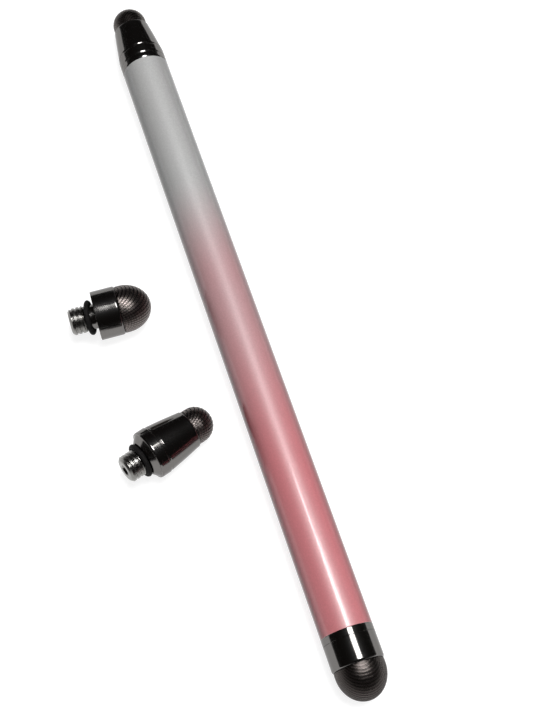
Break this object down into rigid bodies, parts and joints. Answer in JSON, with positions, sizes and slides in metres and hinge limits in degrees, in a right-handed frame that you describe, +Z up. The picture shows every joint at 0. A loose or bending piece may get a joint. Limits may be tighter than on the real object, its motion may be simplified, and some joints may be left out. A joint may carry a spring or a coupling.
{
  "type": "stylus pen",
  "caption": "Two-ended touch-screen stylus: slim lacquered barrel with a screw-in fibre-mesh tip at each end, and spare tips beside it.",
  "frame": {"origin": "on the barrel's axis at the middle of its length", "axes": "+X along the barrel towards its large tip, +Z up from the surface that it lies on, +Y to the right seen from the large tip"},
  "size_m": [0.1419, 0.0329, 0.0092],
  "materials": {
    "pearl_lacquer": "satin pearl lacquer fading from silver white to rose pink",
    "black_chrome": "polished black chrome",
    "stud_aluminium": "bright turned",
    "seal_rubber": "matte",
    "clamp_brass": "turned",
    "core_foam": "soft matte",
    "knitted_fibre": "knitted conductive fibre with a metallic glint"
  },
  "bodies": {
    "barrel": {"barrel_tube": "pearl_lacquer", "large_end_bush": "black_chrome", "small_end_bush": "black_chrome"},
    "large_seal": {"large_tip_seal": "seal_rubber"},
    "large_tip": {"large_tip_stud": "stud_aluminium", "large_tip_collar": "black_chrome", "large_tip_clamp_ring": "clamp_brass", "large_tip_core": "core_foam", "large_tip_mesh": "knitted_fibre"},
    "small_seal": {"small_tip_seal": "seal_rubber"},
    "small_tip": {"small_tip_stud": "stud_aluminium", "small_tip_nose": "black_chrome", "small_tip_clamp_ring": "clamp_brass", "small_tip_core": "core_foam", "small_tip_mesh": "knitted_fibre"},
    "spare_large_tip": {"spare_large_tip_stud": "stud_aluminium", "spare_large_tip_collar": "black_chrome", "spare_large_tip_seal": "seal_rubber", "spare_large_tip_clamp_ring": "clamp_brass", "spare_large_tip_core": "core_foam", "spare_large_tip_mesh": "knitted_fibre"},
    "spare_small_tip": {"spare_small_tip_stud": "stud_aluminium", "spare_small_tip_nose": "black_chrome", "spare_small_tip_seal": "seal_rubber", "spare_small_tip_clamp_ring": "clamp_brass", "spare_small_tip_core": "core_foam", "spare_small_tip_mesh": "knitted_fibre"}
  },
  "joints": [
    {"name": "large_tip_advance", "type": "slide", "parent": "barrel", "child": "large_seal", "axis": [1, 0, 0], "range_m": [0, 0.005]},
    {"name": "large_tip_screw", "type": "hinge", "parent": "large_seal", "child": "large_tip", "pos_m": [0.05922, 0, 0], "axis": [1, 0, 0], "range_deg": [0, 2251]},
    {"name": "small_tip_advance", "type": "slide", "parent": "barrel", "child": "small_seal", "axis": [-1, 0, 0], "range_m": [0, 0.005]},
    {"name": "small_tip_screw", "type": "hinge", "parent": "small_seal", "child": "small_tip", "pos_m": [-0.05922, 0, 0], "axis": [-1, 0, 0], "range_deg": [0, 2251]},
    {"name": "spare_large_tip_lift", "type": "slide", "parent": "barrel", "child": "spare_large_tip", "axis": [0, 0, 1], "range_m": [0, 0.03]},
    {"name": "spare_small_tip_lift", "type": "slide", "parent": "barrel", "child": "spare_small_tip", "axis": [0, 0, 1], "range_m": [0, 0.03]}
  ],
  "couplings": [
    {"joint": "large_tip_screw", "follows": "large_tip_advance", "rad_per_m": 7854},
    {"joint": "small_tip_screw", "follows": "small_tip_advance", "rad_per_m": 7854}
  ]
}
